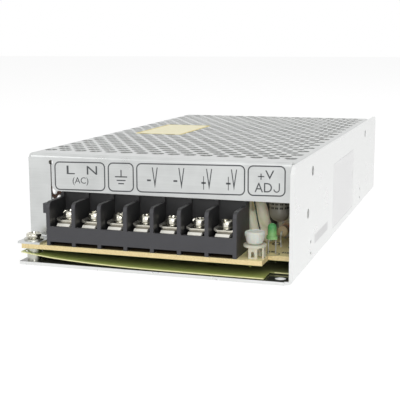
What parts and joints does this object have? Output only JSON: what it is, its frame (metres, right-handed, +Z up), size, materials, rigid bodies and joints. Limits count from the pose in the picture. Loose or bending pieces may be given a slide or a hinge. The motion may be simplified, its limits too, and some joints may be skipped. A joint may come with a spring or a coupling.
{
  "type": "mesh case switching power supply",
  "caption": "Flat enclosed power supply with a perforated steel cover over a folded aluminium chassis and a screw terminal block along one end.",
  "frame": {"origin": "centre of the underside of the case's bounding box", "axes": "+X to the right across the terminals as seen from the terminal end, +Y along the case away from the terminals, +Z up out of the mesh cover"},
  "size_m": [0.098, 0.199, 0.038],
  "materials": {
    "chassis_aluminium": "mill finish sheet",
    "cover_steel": "galvanised, fine grain",
    "film": "thin yellow green insulating sheet",
    "zinc_steel": "bright zinc plating",
    "board": "phenolic laminate",
    "block_plastic": "moulded, slightly satin",
    "tinned_brass": "tin plated",
    "white_plastic": "translucent white moulding",
    "green_lens": "tinted clear resin",
    "spring_steel": "tinned",
    "ceramic_body": "matt",
    "dark_coating": "dipped coating",
    "yellow_plastic": "moulded box",
    "ferrite": "sintered ferrite",
    "copper_wire": "enamelled copper",
    "yellow_tape": "polyester tape",
    "black_package": "moulded epoxy",
    "capacitor_sleeve": "shrunk vinyl sleeve",
    "silicone": "cured adhesive"
  },
  "bodies": {
    "case": {"chassis": "chassis_aluminium", "mesh_cover": "cover_steel", "insulating_sheet": "film", "standoffs": "zinc_steel", "tab_screw": "zinc_steel", "tab_washer": "zinc_steel", "board_screws": "zinc_steel", "circuit_board": "board", "terminal_block": "block_plastic", "terminal_contact_1": "tinned_brass", "terminal_contact_2": "tinned_brass", "terminal_contact_3": "tinned_brass", "terminal_contact_4": "tinned_brass", "terminal_contact_5": "tinned_brass", "terminal_contact_6": "tinned_brass", "terminal_contact_7": "tinned_brass", "trimmer_base": "white_plastic", "lamp_lens": "green_lens", "lamp_leads": "spring_steel", "fuse_clips": "spring_steel", "rectifier_clip": "spring_steel", "fuse": "ceramic_body", "output_resistor": "ceramic_body", "thermistor": "dark_coating", "line_filter_capacitor": "yellow_plastic", "line_choke_core": "ferrite", "transformer_core": "ferrite", "output_choke_core": "ferrite", "line_choke_windings": "copper_wire", "output_choke_winding": "copper_wire", "transformer_winding": "yellow_tape", "bridge_rectifier": "black_package", "switch_transistor": "black_package", "controller_chip": "black_package", "output_rectifier": "black_package", "optocoupler": "white_plastic", "reservoir_capacitor_1": "capacitor_sleeve", "reservoir_capacitor_2": "capacitor_sleeve", "output_capacitor_1": "capacitor_sleeve", "output_capacitor_2": "capacitor_sleeve", "output_capacitor_3": "capacitor_sleeve", "heat_sink": "chassis_aluminium", "silicone_bead": "silicone"},
    "clamp_1": {"clamp_plate_1": "tinned_brass"},
    "screw_1": {"terminal_screw_1": "zinc_steel"},
    "clamp_2": {"clamp_plate_2": "tinned_brass"},
    "screw_2": {"terminal_screw_2": "zinc_steel"},
    "clamp_3": {"clamp_plate_3": "tinned_brass"},
    "screw_3": {"terminal_screw_3": "zinc_steel"},
    "clamp_4": {"clamp_plate_4": "tinned_brass"},
    "screw_4": {"terminal_screw_4": "zinc_steel"},
    "clamp_5": {"clamp_plate_5": "tinned_brass"},
    "screw_5": {"terminal_screw_5": "zinc_steel"},
    "clamp_6": {"clamp_plate_6": "tinned_brass"},
    "screw_6": {"terminal_screw_6": "zinc_steel"},
    "clamp_7": {"clamp_plate_7": "tinned_brass"},
    "screw_7": {"terminal_screw_7": "zinc_steel"},
    "trimmer": {"trimmer_knob": "white_plastic"}
  },
  "joints": [
    {"name": "clamp_lift_1", "type": "slide", "parent": "case", "child": "clamp_1", "axis": [0, 0, 1], "range_m": [0, 0.0025]},
    {"name": "screw_turn_1", "type": "hinge", "parent": "clamp_1", "child": "screw_1", "pos_m": [-0.0319, -0.0913, 0.016], "axis": [0, 0, 1], "range_deg": [0, 1800]},
    {"name": "clamp_lift_2", "type": "slide", "parent": "case", "child": "clamp_2", "axis": [0, 0, 1], "range_m": [0, 0.0025]},
    {"name": "screw_turn_2", "type": "hinge", "parent": "clamp_2", "child": "screw_2", "pos_m": [-0.0224, -0.0913, 0.016], "axis": [0, 0, 1], "range_deg": [0, 1800]},
    {"name": "clamp_lift_3", "type": "slide", "parent": "case", "child": "clamp_3", "axis": [0, 0, 1], "range_m": [0, 0.0025]},
    {"name": "screw_turn_3", "type": "hinge", "parent": "clamp_3", "child": "screw_3", "pos_m": [-0.0129, -0.0913, 0.016], "axis": [0, 0, 1], "range_deg": [0, 1800]},
    {"name": "clamp_lift_4", "type": "slide", "parent": "case", "child": "clamp_4", "axis": [0, 0, 1], "range_m": [0, 0.0025]},
    {"name": "screw_turn_4", "type": "hinge", "parent": "clamp_4", "child": "screw_4", "pos_m": [-0.0034, -0.0913, 0.016], "axis": [0, 0, 1], "range_deg": [0, 1800]},
    {"name": "clamp_lift_5", "type": "slide", "parent": "case", "child": "clamp_5", "axis": [0, 0, 1], "range_m": [0, 0.0025]},
    {"name": "screw_turn_5", "type": "hinge", "parent": "clamp_5", "child": "screw_5", "pos_m": [0.0061, -0.0913, 0.016], "axis": [0, 0, 1], "range_deg": [0, 1800]},
    {"name": "clamp_lift_6", "type": "slide", "parent": "case", "child": "clamp_6", "axis": [0, 0, 1], "range_m": [0, 0.0025]},
    {"name": "screw_turn_6", "type": "hinge", "parent": "clamp_6", "child": "screw_6", "pos_m": [0.0156, -0.0913, 0.016], "axis": [0, 0, 1], "range_deg": [0, 1800]},
    {"name": "clamp_lift_7", "type": "slide", "parent": "case", "child": "clamp_7", "axis": [0, 0, 1], "range_m": [0, 0.0025]},
    {"name": "screw_turn_7", "type": "hinge", "parent": "clamp_7", "child": "screw_7", "pos_m": [0.0251, -0.0913, 0.016], "axis": [0, 0, 1], "range_deg": [0, 1800]},
    {"name": "trimmer_turn", "type": "hinge", "parent": "case", "child": "trimmer", "pos_m": [0.0354, -0.0945, 0.014], "axis": [0, 0, 1], "range_deg": [-135, 135]}
  ],
  "couplings": [
    {"joint": "screw_turn_1", "follows": "clamp_lift_1", "rad_per_m": 12566},
    {"joint": "screw_turn_2", "follows": "clamp_lift_2", "rad_per_m": 12566},
    {"joint": "screw_turn_3", "follows": "clamp_lift_3", "rad_per_m": 12566},
    {"joint": "screw_turn_4", "follows": "clamp_lift_4", "rad_per_m": 12566},
    {"joint": "screw_turn_5", "follows": "clamp_lift_5", "rad_per_m": 12566},
    {"joint": "screw_turn_6", "follows": "clamp_lift_6", "rad_per_m": 12566},
    {"joint": "screw_turn_7", "follows": "clamp_lift_7", "rad_per_m": 12566}
  ]
}
